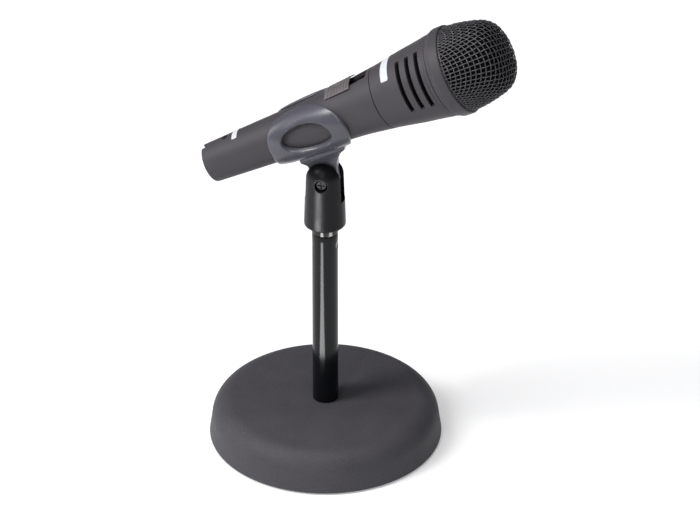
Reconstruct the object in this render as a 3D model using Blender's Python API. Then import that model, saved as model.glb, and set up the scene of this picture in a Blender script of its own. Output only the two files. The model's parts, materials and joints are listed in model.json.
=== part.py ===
"""Desktop microphone stand with its spring clip and a handheld dynamic microphone.

Frame: metres, +Z up.  The origin is the middle of the base's underside, on the axis
of the upright tube.  The microphone points towards +X and the clip's pivot lies
along Y.  Every object is one physical piece.  Four empties carry the moving pieces,
and each empty lies on the axis of its joint.

All driving dimensions are in millimetres and are turned into metres by MM when a
mesh is made.
"""
import math

import bmesh
import bpy
from mathutils import Matrix, Vector

MM = 0.001
GAP = 0.3

# Sides of a turned piece: large, medium and small ones
FINE = 48
MEDIUM = 36
COARSE = 24

# Cast base and its rubber pad
BASE_FOOT_R = 67.5
BASE_SIDE_R = 66.0
BASE_H = 23.8
BASE_SHOULDER = 12.2
BASE_LIFT = 0.5
BASE_EDGE = 1.6
BASE_HOLE_R = 4.4
POCKET_R = 50.0
POCKET_TOP = 13.0
PAD_R = 60.0
PAD_T = 2.0

# Upright tube with its two crimped plugs
TUBE_R = 7.45
TUBE_WALL = 1.2
TUBE_TOP = 135.5
PLUG_R = 5.5
LOWER_STUD_R = 3.9
UPPER_STUD_R = 4.6
UPPER_STUD_TOP = 151.5
CRIMP_INSET = 7.5
CRIMP_DEPTH = 0.5
CRIMP_BALL_R = 7.8

# Thread adapter, holder and pivot
ADAPTER_R = 7.7
HOLDER_BOTTOM = 141.0
HOLDER_BOTTOM_R = 12.0
HOLDER_TOP_R = 11.0
DOME_Z = 172.1
SOCKET_R = 9.9
SOCKET_TOP = 153.4
SLOT_HALF = 4.4
SLOT_FLOOR = 158.0
PIVOT_Z = 170.7
SCREW_R = 2.0
SCREW_HEAD_R = 3.2
COUNTERBORE_R = 3.7
COUNTERBORE_FLOOR = 7.2
NUT_ACROSS = 7.0

# Clip
TILT = math.radians(28.65)
AXIS_OFFSET = 32.9
JAW_MID_PHI = -8.0
JAW_TOP_PHI = 74.0
JAW_HALF = 25.2
JAW_CENTRE = 10.5
WINDOW_HALF = (15.2, 8.5)
WINDOW_TILT = math.radians(-7.0)
BORE_GAP = 0.35
JAW_CREST = 3.2
TONGUE_HALF = 3.3
TONGUE_R = 8.6

# Microphone, with s measured along its axis and s = 0 above the clip's pivot
HANDLE_LINE = [(-56.3, 11.3), (-48.0, 11.65), (-40.0, 12.05), (-20.0, 12.95),
               (0.0, 13.8), (15.0, 14.7), (28.0, 15.55), (40.0, 16.35),
               (52.0, 17.75), (60.0, 18.75), (68.0, 20.05), (76.0, 21.4),
               (84.0, 22.45), (92.0, 23.65), (96.0, 24.25)]
TAIL_S = -57.0
PART_S = 57.5
COLLAR_S = 96.0
GRILLE_S = 105.0
GRILLE_LINE = [(105.2, 24.9), (112.0, 24.4), (118.0, 23.4), (124.0, 22.0),
               (128.0, 20.6), (131.0, 18.5), (133.0, 15.8), (134.6, 11.6),
               (135.6, 6.0)]
GRILLE_TIP = 136.0
SHELL_T = 2.2
XLR_R = 9.6
XLR_FACE = -45.5
VENTS = (77.4, 83.9, 90.3)
VENT_WIDTH = 2.7
VENT_PHI = (-17.0, 69.0)
SLIDER_S = (27.4, 44.2)
SLIDER_PHI = (62.0, 118.0)
SLIDER_SLOPE = math.radians(4.6)
SLIDER_RIBS = 7
SLIDER_HEIGHT = 1.1
RIB_DEPTH = 0.4
SWITCH_PLATE_X = 11.5
SWITCH_SLOT = (28.5, 54.8)
SWITCH_SLOT_HALF = 5.2


def clear_scene():
    for item in list(bpy.data.objects):
        bpy.data.objects.remove(item, do_unlink=True)


def make_material(name, colour, roughness, metallic=0.0):
    material = bpy.data.materials.new(name)
    material.use_nodes = True
    shader = material.node_tree.nodes["Principled BSDF"]
    shader.inputs["Base Color"].default_value = (*colour, 1.0)
    shader.inputs["Roughness"].default_value = roughness
    shader.inputs["Metallic"].default_value = metallic
    return material


def make_object(name, mesh_bm, material=None, parent=None, turn=None):
    """Turn a bmesh in millimetres into an object in metres."""
    if turn is not None:
        bmesh.ops.transform(mesh_bm, matrix=turn, verts=mesh_bm.verts)
    bmesh.ops.recalc_face_normals(mesh_bm, faces=mesh_bm.faces)
    bmesh.ops.scale(mesh_bm, vec=(MM, MM, MM), verts=mesh_bm.verts)
    mesh = bpy.data.meshes.new(name)
    mesh_bm.to_mesh(mesh)
    mesh_bm.free()
    mesh.shade_smooth()
    mesh.set_sharp_from_angle(angle=math.radians(32.0))
    item = bpy.data.objects.new(name, mesh)
    bpy.context.collection.objects.link(item)
    item.parent = parent
    if material is not None:
        mesh.materials.append(material)
    return item


def make_cutter(name, mesh_bm, parent=None, turn=None):
    cutter = make_object(name, mesh_bm, None, parent, turn)
    cutter.hide_render = True
    cutter.display_type = "WIRE"
    return cutter


def boolean(target, tool, operation="DIFFERENCE"):
    modifier = target.modifiers.new(f"{operation.lower()}_{tool.name}", "BOOLEAN")
    modifier.operation = operation
    modifier.solver = "EXACT"
    modifier.object = tool


def make_empty(name, matrix, parent=None):
    """An empty placed by a matrix whose translation is in millimetres."""
    empty = bpy.data.objects.new(name, None)
    empty.empty_display_size = 10.0 * MM
    bpy.context.collection.objects.link(empty)
    empty.parent = parent
    empty.location = matrix.translation * MM
    empty.rotation_euler = matrix.to_euler()
    return empty


def arc(centre_r, centre_z, radius, start, end, steps):
    """Points (r, z) along an arc, with angles in degrees from the +r direction."""
    points = []
    for i in range(steps + 1):
        angle = math.radians(start + (end - start) * i / steps)
        points.append((centre_r + radius * math.cos(angle), centre_z + radius * math.sin(angle)))
    return points


def lathe(profile, segments, radius_rule=None):
    """Spin a closed profile of (r, z) points about Z; points at r = 0 become poles."""
    mesh_bm = bmesh.new()
    rings = []
    for radius, height in profile:
        if radius == 0.0:
            rings.append([mesh_bm.verts.new((0.0, 0.0, height))])
            continue
        ring = []
        for i in range(segments):
            angle = 2.0 * math.pi * i / segments
            r = radius_rule(radius, height, i) if radius_rule else radius
            ring.append(mesh_bm.verts.new((r * math.cos(angle), r * math.sin(angle), height)))
        rings.append(ring)
    for lower, upper in zip(rings, rings[1:] + rings[:1]):
        for i in range(segments):
            j = (i + 1) % segments
            corners = [lower[i % len(lower)], lower[j % len(lower)],
                       upper[j % len(upper)], upper[i % len(upper)]]
            face = list(dict.fromkeys(corners))
            if len(face) > 2:
                mesh_bm.faces.new(face)
    return mesh_bm


def sector(profile, phi_start, phi_end, steps):
    """Sweep a closed profile of (r, s) points over part of a turn about the local Z axis.

    phi runs from the local Y axis towards the local X axis, in degrees.
    """
    mesh_bm = bmesh.new()
    rings = []
    for i in range(steps + 1):
        phi = math.radians(phi_start + (phi_end - phi_start) * i / steps)
        rings.append([mesh_bm.verts.new((r * math.sin(phi), r * math.cos(phi), s))
                      for r, s in profile])
    count = len(profile)
    for here, there in zip(rings, rings[1:]):
        for i in range(count):
            j = (i + 1) % count
            mesh_bm.faces.new((here[i], here[j], there[j], there[i]))
    mesh_bm.faces.new(rings[0])
    mesh_bm.faces.new(rings[-1])
    return mesh_bm


def cylinder(radius, start, end, segments=COARSE):
    return lathe([(0.0, start), (radius, start), (radius, end), (0.0, end)], segments)


def box(low, high):
    mesh_bm = bmesh.new()
    size = [high[i] - low[i] for i in range(3)]
    centre = [(high[i] + low[i]) / 2.0 for i in range(3)]
    bmesh.ops.create_cube(mesh_bm, size=1.0)
    bmesh.ops.scale(mesh_bm, vec=size, verts=mesh_bm.verts)
    bmesh.ops.translate(mesh_bm, vec=centre, verts=mesh_bm.verts)
    return mesh_bm


def merged(parts):
    """Put several bmeshes into one and free the originals."""
    result = bmesh.new()
    for part in parts:
        scratch = bpy.data.meshes.new("scratch")
        part.to_mesh(scratch)
        part.free()
        result.from_mesh(scratch)
        bpy.data.meshes.remove(scratch)
    return result


def along_y():
    """Turns a piece made along Z so that it lies along -Y."""
    return Matrix.Rotation(math.radians(90.0), 4, "X")


def interpolate(line, s):
    if s <= line[0][0]:
        return line[0][1]
    for (s0, r0), (s1, r1) in zip(line, line[1:]):
        if s <= s1:
            return r0 + (r1 - r0) * (s - s0) / (s1 - s0)
    return line[-1][1]


def body_radius(s):
    """Outer radius of the microphone's handle and head housing."""
    return interpolate(HANDLE_LINE, s)


def line_between(line, start, end):
    """The part of a profile line between two stations, with its ends interpolated."""
    inner = [point for point in line if start < point[0] < end]
    return [(start, interpolate(line, start)), *inner, (end, interpolate(line, end))]


# ---------------------------------------------------------------- stand

def build_base():
    iron = make_material("powder_coated_iron", (0.08, 0.08, 0.09), 0.5)
    rubber = make_material("pad_rubber", (0.02, 0.02, 0.02), 0.9)
    profile = [(BASE_HOLE_R, BASE_H)]
    profile += arc(BASE_SIDE_R - BASE_SHOULDER, BASE_H - BASE_SHOULDER, BASE_SHOULDER, 90, 4, 8)
    profile += arc(BASE_FOOT_R - BASE_EDGE, BASE_LIFT + BASE_EDGE, BASE_EDGE, 0, -90, 4)
    profile += [(PAD_R + 0.4, BASE_LIFT), (PAD_R + 0.4, PAD_T + GAP), (POCKET_R, PAD_T + GAP),
                (POCKET_R - 2.0, POCKET_TOP), (BASE_HOLE_R, POCKET_TOP)]
    make_object("base_casting", lathe(profile, FINE), iron)
    pad = [(0.0, 0.0), (PAD_R - 0.5, 0.0), (PAD_R, 0.5), (PAD_R, PAD_T), (0.0, PAD_T)]
    make_object("base_pad", lathe(pad, FINE), rubber)


def build_base_fixings():
    zinc = make_material("zinc_plated_steel", (0.6, 0.6, 0.58), 0.35, 1.0)
    washer_top = POCKET_TOP - GAP
    washer_bottom = washer_top - 1.5
    washer = [(4.5, washer_bottom), (10.0, washer_bottom), (10.0, washer_top), (4.5, washer_top)]
    make_object("base_washer", lathe(washer, COARSE), zinc)
    nut_top = washer_bottom - GAP
    nut_r = 13.0 / math.sqrt(3.0)
    nut = [(4.25, nut_top - 5.0), (nut_r, nut_top - 5.0), (nut_r, nut_top), (4.25, nut_top)]
    make_object("base_nut", lathe(nut, COARSE, hexagon(nut_r, COARSE)), zinc)


def hexagon(corner_radius, segments):
    """A radius rule that turns the rings at corner_radius into a hexagon."""
    def rule(radius, _height, index):
        if abs(radius - corner_radius) > 1e-6:
            return radius
        angle = (2.0 * math.pi * index / segments) % (math.pi / 3.0) - math.pi / 6.0
        return corner_radius * math.cos(math.pi / 6.0) / math.cos(angle)
    return rule


def build_tube():
    black = make_material("gloss_black_steel", (0.01, 0.01, 0.01), 0.15)
    steel = make_material("bright_steel", (0.6, 0.6, 0.6), 0.3, 1.0)
    bottom = BASE_H + GAP
    inner = TUBE_R - TUBE_WALL
    wall = [(inner, bottom), (TUBE_R, bottom), (TUBE_R, TUBE_TOP - 0.4),
            (TUBE_R - 0.4, TUBE_TOP), (inner, TUBE_TOP)]
    tube = make_object("tube", lathe(wall, FINE), black)
    balls = []
    for height in (bottom + CRIMP_INSET, TUBE_TOP - CRIMP_INSET):
        for side in (-1, 1):
            ball = bmesh.new()
            bmesh.ops.create_uvsphere(ball, u_segments=24, v_segments=16, radius=CRIMP_BALL_R)
            offset = TUBE_R - CRIMP_DEPTH + CRIMP_BALL_R
            bmesh.ops.translate(ball, vec=(side * offset, 0.0, height), verts=ball.verts)
            balls.append(ball)
    boolean(tube, make_cutter("cut_crimps", merged(balls)))

    lower = [(0.0, 4.5), (LOWER_STUD_R - 0.6, 4.5), (LOWER_STUD_R, 5.1), (LOWER_STUD_R, bottom),
             (PLUG_R, bottom), (PLUG_R, bottom + 18.0), (0.0, bottom + 18.0)]
    make_object("tube_lower_plug", lathe(lower, COARSE), steel)
    upper = [(0.0, TUBE_TOP - 24.0), (PLUG_R, TUBE_TOP - 24.0), (PLUG_R, TUBE_TOP - GAP),
             (UPPER_STUD_R, TUBE_TOP - GAP), (UPPER_STUD_R, UPPER_STUD_TOP - 0.8),
             (UPPER_STUD_R - 0.8, UPPER_STUD_TOP), (0.0, UPPER_STUD_TOP)]
    make_object("tube_upper_plug", lathe(upper, COARSE), steel)


# ---------------------------------------------------------------- holder

def build_adapter(parent):
    """The plated thread adapter: a plain sleeve that shows between tube and holder."""
    nickel = make_material("nickel_plate", (0.75, 0.74, 0.72), 0.15, 1.0)
    bottom = TUBE_TOP + GAP
    bore = UPPER_STUD_R + GAP
    sleeve = [(bore, bottom), (ADAPTER_R - 0.3, bottom), (ADAPTER_R, bottom + 0.3),
              (ADAPTER_R, UPPER_STUD_TOP - 0.5), (ADAPTER_R - 0.5, UPPER_STUD_TOP),
              (bore, UPPER_STUD_TOP)]
    make_object("thread_adapter", lathe(sleeve, FINE), nickel, parent,
                Matrix.Translation((0, 0, -HOLDER_BOTTOM)))


def build_holder(parent):
    plastic = make_material("black_satin_plastic", (0.02, 0.02, 0.022), 0.4)
    brass = make_material("insert_brass", (0.55, 0.4, 0.15), 0.35, 1.0)
    zinc = make_material("pivot_zinc", (0.7, 0.7, 0.7), 0.3, 1.0)
    fibre = make_material("friction_fibre", (0.25, 0.05, 0.03), 0.8)
    down = Matrix.Translation((0, 0, -HOLDER_BOTTOM))
    pivot = Matrix.Translation((0, 0, PIVOT_Z - HOLDER_BOTTOM)) @ along_y()

    profile = [(HOLDER_BOTTOM_R - 0.5, HOLDER_BOTTOM), (HOLDER_BOTTOM_R, HOLDER_BOTTOM + 0.5)]
    profile += arc(0.0, DOME_Z, HOLDER_TOP_R, 0, 80, 10)
    profile += [(0.0, DOME_Z + HOLDER_TOP_R), (0.0, SOCKET_TOP), (SOCKET_R, SOCKET_TOP),
                (SOCKET_R, HOLDER_BOTTOM)]
    holder = make_object("holder_body", lathe(profile, FINE), plastic, parent, down)
    slot = box((-15.0, -SLOT_HALF, SLOT_FLOOR), (15.0, SLOT_HALF, 190.0))
    boolean(holder, make_cutter("cut_slot", slot, parent, down))
    pocket_r = (NUT_ACROSS + 2.0 * GAP) / math.sqrt(3.0)
    stepped = [(0.0, -13.0), (pocket_r, -13.0), (pocket_r, -COUNTERBORE_FLOOR),
               (SCREW_R + 0.35, -COUNTERBORE_FLOOR), (SCREW_R + 0.35, COUNTERBORE_FLOOR),
               (COUNTERBORE_R, COUNTERBORE_FLOOR), (COUNTERBORE_R, 13.0), (0.0, 13.0)]
    bolt_way = lathe(stepped, COARSE, hexagon(pocket_r, COARSE))
    boolean(holder, make_cutter("cut_bolt_way", bolt_way, parent, pivot))

    insert = [(8.1, HOLDER_BOTTOM + 0.5), (9.6, HOLDER_BOTTOM + 0.5), (9.6, SOCKET_TOP - GAP),
              (8.1, SOCKET_TOP - GAP)]
    make_object("holder_insert", lathe(insert, COARSE), brass, parent, down)

    head = COUNTERBORE_FLOOR + GAP
    screw = [(0.0, -9.8), (SCREW_R, -9.8), (SCREW_R, head), (SCREW_HEAD_R, head),
             (SCREW_HEAD_R, head + 1.3), (SCREW_HEAD_R - 0.6, head + 1.9), (0.0, head + 1.9)]
    pivot_screw = make_object("pivot_screw", lathe(screw, COARSE), zinc, parent, pivot)
    for index, half in enumerate(((2.0, 0.4), (0.4, 2.0))):
        blade = box((-half[0], -half[1], head + 0.9), (half[0], half[1], head + 3.0))
        boolean(pivot_screw, make_cutter(f"cut_drive_{index}", blade, parent, pivot))

    nut_r = NUT_ACROSS / math.sqrt(3.0)
    nut = [(2.3, -9.4), (nut_r, -9.4), (nut_r, -COUNTERBORE_FLOOR - GAP),
           (2.3, -COUNTERBORE_FLOOR - GAP)]
    make_object("pivot_nut", lathe(nut, COARSE, hexagon(nut_r, COARSE)), zinc, parent, pivot)
    for name, start in (("friction_washer_near", 3.6), ("friction_washer_far", -4.1)):
        ring = [(2.4, start), (7.5, start), (7.5, start + 0.5), (2.4, start + 0.5)]
        make_object(name, lathe(ring, COARSE), fibre, parent, pivot)


# ---------------------------------------------------------------- clip

def jaw_limits(phi):
    """Middle and half length of the jaw at an angle phi, in degrees, round the microphone."""
    if phi > JAW_MID_PHI:
        rise = (phi - JAW_MID_PHI) / (JAW_TOP_PHI - JAW_MID_PHI)
        half = JAW_HALF * math.sqrt(max(0.0, 1.0 - rise * rise))
        return JAW_CENTRE - 4.0 * rise * rise, half
    fall = (JAW_MID_PHI - phi) / (90.0 + JAW_MID_PHI)
    return JAW_CENTRE - 7.2 * fall ** 1.2, JAW_HALF - 4.4 * fall ** 1.5


def jaw_edge(start, direction, arc_per_degree):
    """How far a ray goes from the window's middle to the edge of the jaw."""
    near, far = 0.0, 60.0
    for _ in range(40):
        reach = (near + far) / 2.0
        s = start[0] + direction[0] * reach
        phi = start[1] + direction[1] * reach / arc_per_degree
        middle, half = jaw_limits(max(phi, -90.0))
        inside = -90.0 <= phi <= JAW_TOP_PHI and abs(s - middle) <= half
        near, far = (reach, far) if inside else (near, reach)
    return near


def jaw_half(rays, rings):
    """The near half of the clip's sleeve: a crowned ring round its oval window."""
    mesh_bm = bmesh.new()
    arc_per_degree = math.radians(17.0)
    centre = (10.3, 0.5)
    outer = []
    inner = []
    bottom = []
    for i in range(rays):
        angle = 2.0 * math.pi * i / rays
        direction = (math.cos(angle), math.sin(angle))
        turned = angle - WINDOW_TILT
        window = 1.0 / math.hypot(math.cos(turned) / WINDOW_HALF[0],
                                  math.sin(turned) / WINDOW_HALF[1])
        edge = jaw_edge(centre, direction, arc_per_degree)
        outer_ring = []
        inner_ring = []
        for k in range(rings + 1):
            t = k / rings
            reach = window + (edge - window) * t
            s = centre[0] + direction[0] * reach
            phi = max(centre[1] + direction[1] * reach / arc_per_degree, -90.0)
            upward = max(0.0, math.sin(angle))
            thin = 1.6 + 0.4 * math.cos(angle) - 0.6 * upward
            thickness = thin + (JAW_CREST - 0.3 * upward - thin) * (1.0 - t ** 1.9)
            for ring, add in ((outer_ring, thickness), (inner_ring, 0.0)):
                radius = body_radius(s) + BORE_GAP + add
                across = radius * math.cos(math.radians(phi)) if phi > -89.9 else 0.0
                ring.append(mesh_bm.verts.new((radius * math.sin(math.radians(phi)), across, s)))
        bottom.append(phi < -89.9)
        outer.append(outer_ring)
        inner.append(inner_ring)
    for i in range(rays):
        j = (i + 1) % rays
        for k in range(rings):
            mesh_bm.faces.new((outer[i][k], outer[j][k], outer[j][k + 1], outer[i][k + 1]))
            mesh_bm.faces.new((inner[i][k + 1], inner[j][k + 1], inner[j][k], inner[i][k]))
        mesh_bm.faces.new((outer[j][0], outer[i][0], inner[i][0], inner[j][0]))
        if not (bottom[i] and bottom[j]):
            mesh_bm.faces.new((outer[i][-1], outer[j][-1], inner[j][-1], inner[i][-1]))
    return mesh_bm


def tongue():
    """The plate that joins the sleeve to the pivot, flared where it meets the sleeve.

    Rows are left and right ends, measured level and upright from the pivot while the
    microphone has its resting tilt, and the half thickness of the plate there.
    """
    rows = []
    for i in range(7):
        angle = math.radians(-80.0 + 80.0 * i / 6)
        side = TONGUE_R * math.cos(angle)
        height = TONGUE_R * math.sin(angle)
        rows.append(((-side, height), (side, height), TONGUE_HALF))
    rows += [((-8.6, 2.0), (7.6, 7.0), TONGUE_HALF), ((-8.6, 5.5), (7.6, 13.0), TONGUE_HALF),
             ((-9.0, 7.8), (9.0, 17.2), 3.9), ((-9.9, 9.2), (10.3, 19.8), 5.0),
             ((-11.0, 10.4), (11.6, 21.8), 6.4), ((-12.4, 11.8), (12.9, 23.6), 7.8),
             ((-13.0, 14.0), (12.6, 26.0), 8.2)]
    mesh_bm = bmesh.new()
    loops = []
    for left, right, half in rows:
        loop = []
        for (level, upright), across in ((left, half), (right, half), (right, -half), (left, -half)):
            s = level * math.cos(TILT) + upright * math.sin(TILT)
            rise = -level * math.sin(TILT) + upright * math.cos(TILT)
            loop.append(mesh_bm.verts.new((rise, across, s)))
        loops.append(loop)
    for here, there in zip(loops, loops[1:]):
        for i in range(4):
            j = (i + 1) % 4
            mesh_bm.faces.new((here[i], here[j], there[j], there[i]))
    mesh_bm.faces.new(loops[0])
    mesh_bm.faces.new(loops[-1])
    return mesh_bm


def build_clip(parent):
    plastic = make_material("clip_plastic", (0.16, 0.155, 0.18), 0.35)
    lift = Matrix.Translation((AXIS_OFFSET, 0, 0))
    near = jaw_half(44, 6)
    far = near.copy()
    bmesh.ops.scale(far, vec=(1.0, -1.0, 1.0), verts=far.verts)
    sleeve = merged([near, far])
    bmesh.ops.remove_doubles(sleeve, verts=sleeve.verts, dist=1e-4)
    bmesh.ops.transform(sleeve, matrix=lift, verts=sleeve.verts)
    clip = make_object("clip_shell", sleeve, plastic, parent)

    plate = make_cutter("join_tongue", tongue(), parent)
    reach = [(0.0, -20.0), (body_radius(-20.0) + 0.9, -20.0), (body_radius(0.0) + 0.9, 0.0),
             (body_radius(40.0) + 0.9, 40.0), (0.0, 40.0)]
    boolean(plate, make_cutter("cut_tongue_bore", lathe(reach, MEDIUM), parent, lift))
    boolean(clip, plate, "UNION")
    hole = cylinder(SCREW_R + 0.5, -12.0, 12.0)
    boolean(clip, make_cutter("cut_pivot_hole", hole, parent, along_y()))


# ---------------------------------------------------------------- microphone

def turned_along(line, inner_line, segments=MEDIUM):
    """A turned shell from an outer line and an inner line of (s, r) points."""
    profile = [(r, s) for s, r in line]
    profile += [(r, s) for s, r in reversed(inner_line)]
    return lathe(profile, segments)


def build_handle(parent):
    coating = make_material("soft_grey_coating", (0.13, 0.12, 0.125), 0.55)
    end = PART_S - GAP / 2.0
    outer = [(TAIL_S, 10.6), *line_between(HANDLE_LINE, -56.3, end)]
    inner = [(TAIL_S, XLR_R), (-34.5, XLR_R)]
    inner += [(s, r - SHELL_T) for s, r in line_between(HANDLE_LINE, -34.0, end)]
    handle = make_object("mic_handle", turned_along(outer, inner), coating, parent)
    slot = box((11.0, -SWITCH_SLOT_HALF, SWITCH_SLOT[0]), (20.0, SWITCH_SLOT_HALF, SWITCH_SLOT[1]))
    boolean(handle, make_cutter("cut_switch_slot", slot, parent))
    screw_hole = cylinder(1.9, 8.0, 14.0)
    place = Matrix.Translation((0, 0, -41.5)) @ Matrix.Rotation(math.radians(90.0), 4, "Y")
    boolean(handle, make_cutter("cut_set_screw", screw_hole, parent, place))
    notch = box((8.0, -2.6, -60.0), (14.0, 2.6, -54.2))
    boolean(handle, make_cutter("cut_latch_notch", notch, parent))
    return coating


def build_head(parent, coating):
    cloth = make_material("acoustic_cloth", (0.01, 0.01, 0.01), 0.95)
    start = PART_S + GAP / 2.0
    end = COLLAR_S - GAP / 2.0
    outer = line_between(HANDLE_LINE, start, end)
    inner = [(s, r - SHELL_T) for s, r in outer]
    housing = make_object("mic_head_housing", turned_along(outer, inner), coating, parent)
    vents = []
    for s in VENTS:
        profile = [(16.0, s - VENT_WIDTH / 2), (27.0, s - VENT_WIDTH / 2),
                   (27.0, s + VENT_WIDTH / 2), (16.0, s + VENT_WIDTH / 2)]
        for phi in (VENT_PHI, (180.0 - VENT_PHI[1], 180.0 - VENT_PHI[0])):
            vents.append(sector(profile, phi[0], phi[1], 12))
    boolean(housing, make_cutter("cut_vents", merged(vents), parent))

    sleeve = [(s, r - GAP) for s, r in line_between(inner, 74.0, 94.0)]
    make_object("mic_vent_cloth", turned_along(sleeve, [(s, r - 0.6) for s, r in sleeve]),
                cloth, parent)
    start = COLLAR_S + GAP / 2.0
    rim = [(start, 24.4), (COLLAR_S + 2.2, 25.5), (COLLAR_S + 3.2, 25.7), (104.4, 25.8),
           (GRILLE_S - GAP / 2.0, 25.4)]
    bore = [(start, 24.1), (GRILLE_S - GAP / 2.0, 24.1)]
    make_object("mic_collar", turned_along(rim, bore), coating, parent)


def build_grille(parent):
    wire = make_material("black_wire_mesh", (0.03, 0.03, 0.03), 0.4, 0.6)
    foam = make_material("grille_foam", (0.01, 0.01, 0.01), 0.95)
    metal = make_material("capsule_metal", (0.3, 0.3, 0.3), 0.4, 1.0)
    rubber = make_material("mount_rubber", (0.02, 0.02, 0.02), 0.8)
    wall = 0.8
    skirt = [(98.0, 23.8), (GRILLE_S + 0.1, 23.8), (GRILLE_S + 0.15, 24.7)]
    outer = [(r, s) for s, r in skirt + GRILLE_LINE] + [(0.0, GRILLE_TIP)]
    inside = [(0.0, GRILLE_TIP - wall)]
    inside += [(r - wall * 0.95, s - wall * 0.3) for s, r in reversed(GRILLE_LINE)]
    inside += [(23.0, 105.0), (23.0, 98.0)]
    make_object("mic_grille", lathe(outer + inside, MEDIUM), wire, parent)

    scale = 0.93
    liner = [(r * scale, s - 1.6) for s, r in GRILLE_LINE[1:]] + [(0.0, GRILLE_TIP - 1.8)]
    hollow = [(0.0, GRILLE_TIP - 4.2)] + [(r * scale - 2.2, s - 3.6)
                                          for s, r in reversed(GRILLE_LINE[1:])]
    make_object("mic_foam_liner", lathe(liner + hollow, COARSE), foam, parent)

    capsule = [(0.0, 88.0), (12.2, 88.0), (12.2, 103.0), (15.5, 103.6), (15.5, 109.0),
               (13.0, 110.2), (0.0, 110.6)]
    make_object("mic_capsule", lathe(capsule, COARSE), metal, parent)
    mount = [(12.5, 98.5), (22.6, 98.5), (22.6, 102.2), (12.5, 102.2)]
    make_object("mic_shock_mount", lathe(mount, COARSE), rubber, parent)


def build_connector(parent):
    plastic = make_material("connector_plastic", (0.03, 0.03, 0.03), 0.5)
    silver = make_material("silver_pins", (0.8, 0.79, 0.76), 0.2, 1.0)
    steel = make_material("set_screw_steel", (0.1, 0.1, 0.1), 0.4, 1.0)
    body = cylinder(XLR_R - GAP, XLR_FACE, XLR_FACE + 9.0, COARSE)
    insert = make_object("xlr_insert", body, plastic, parent)
    holes = []
    for index, degrees in enumerate((150.0, 30.0, 270.0)):
        angle = math.radians(degrees)
        offset = Matrix.Translation((5.2 * math.sin(angle), 5.2 * math.cos(angle), 0.0))
        hole = cylinder(1.5, XLR_FACE - 2.0, XLR_FACE + 12.0, 12)
        bmesh.ops.transform(hole, matrix=offset, verts=hole.verts)
        holes.append(hole)
        pin = [(0.0, XLR_FACE - 9.0), (0.7, XLR_FACE - 8.9), (1.2, XLR_FACE - 8.2),
               (1.2, XLR_FACE + 11.0), (0.0, XLR_FACE + 11.0)]
        make_object(f"xlr_pin_{index + 1}", lathe(pin, 12), silver, parent, offset)
    boolean(insert, make_cutter("cut_pin_ways", merged(holes), parent))
    place = Matrix.Translation((0, 0, -41.5)) @ Matrix.Rotation(math.radians(90.0), 4, "Y")
    grub = [(0.0, 9.9), (1.6, 9.9), (1.6, 11.2), (0.9, 11.2), (0.9, 10.7), (0.0, 10.7)]
    make_object("xlr_set_screw", lathe(grub, 12), steel, parent, place)


def slider_cap():
    """The ribbed cap, curved like the handle that it slides over."""
    start, end = SLIDER_S
    ribs = []
    pitch = (end - start - 1.6) / SLIDER_RIBS
    for i in range(SLIDER_RIBS):
        s = start + 0.8 + i * pitch
        crest = body_radius(s) + SLIDER_HEIGHT
        ribs += [(crest - RIB_DEPTH, s), (crest, s + 0.5), (crest, s + pitch * 0.5),
                 (crest - RIB_DEPTH, s + pitch * 0.5 + 0.5)]
    lower = [(body_radius(end) + 0.4, end), (body_radius(start) + 0.4, start)]
    top = [(body_radius(start) + 0.8, start), *ribs, (body_radius(end) + 0.8, end)]
    return sector(lower + top, SLIDER_PHI[0], SLIDER_PHI[1], 12)


def build_switch(mic, slide, slide_place):
    black = make_material("switch_plastic", (0.02, 0.02, 0.02), 0.6)
    grey = make_material("slider_plastic", (0.22, 0.2, 0.21), 0.5)
    pitch = Matrix.Rotation(SLIDER_SLOPE, 4, "Y")
    along = Matrix.Translation((0, 0, 28.0)) @ pitch @ Matrix.Translation((0, 0, -28.0))
    plate = box((SWITCH_PLATE_X - 1.2, -5.8, 25.0), (SWITCH_PLATE_X, 5.8, 50.0))
    make_object("mic_switch_plate", plate, black, mic, along)
    unit = box((SWITCH_PLATE_X - 7.0, -4.0, 31.0), (SWITCH_PLATE_X - 1.5, 4.0, 45.0))
    make_object("mic_switch_unit", unit, black, mic, along)

    to_slide = slide_place.inverted()
    slider = make_object("mic_switch_slider", slider_cap(), grey, slide, to_slide)
    stem = box((13.0, -2.2, 33.0), (17.2, 2.2, 38.5))
    boolean(slider, make_cutter("join_stem", stem, slide, to_slide), "UNION")


def build():
    clear_scene()
    build_base()
    build_base_fixings()
    build_tube()

    swivel = make_empty("swivel_axis", Matrix.Translation((0, 0, HOLDER_BOTTOM)))
    build_adapter(swivel)
    build_holder(swivel)

    up = Vector((-math.sin(TILT), 0.0, math.cos(TILT)))
    near = Vector((0.0, -1.0, 0.0))
    ahead = Vector((math.cos(TILT), 0.0, math.sin(TILT)))
    facing = Matrix((up, near, ahead)).transposed().to_4x4()
    pivot = Matrix.Translation((0, 0, PIVOT_Z - HOLDER_BOTTOM)) @ facing
    tilt = make_empty("tilt_axis", pivot, swivel)
    build_clip(tilt)

    mic = make_empty("mic_axis", Matrix.Translation((AXIS_OFFSET, 0, 0)), tilt)
    coating = build_handle(mic)
    build_head(mic, coating)
    build_grille(mic)
    build_connector(mic)
    middle = sum(SLIDER_S) / 2.0
    place = Matrix.Translation((body_radius(middle), 0, middle))
    place = place @ Matrix.Rotation(SLIDER_SLOPE, 4, "Y")
    slide = make_empty("switch_axis", place, mic)
    build_switch(mic, slide, place)


build()
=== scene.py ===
import json
import math

import bmesh
import bpy
from mathutils import Matrix, Vector


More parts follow.
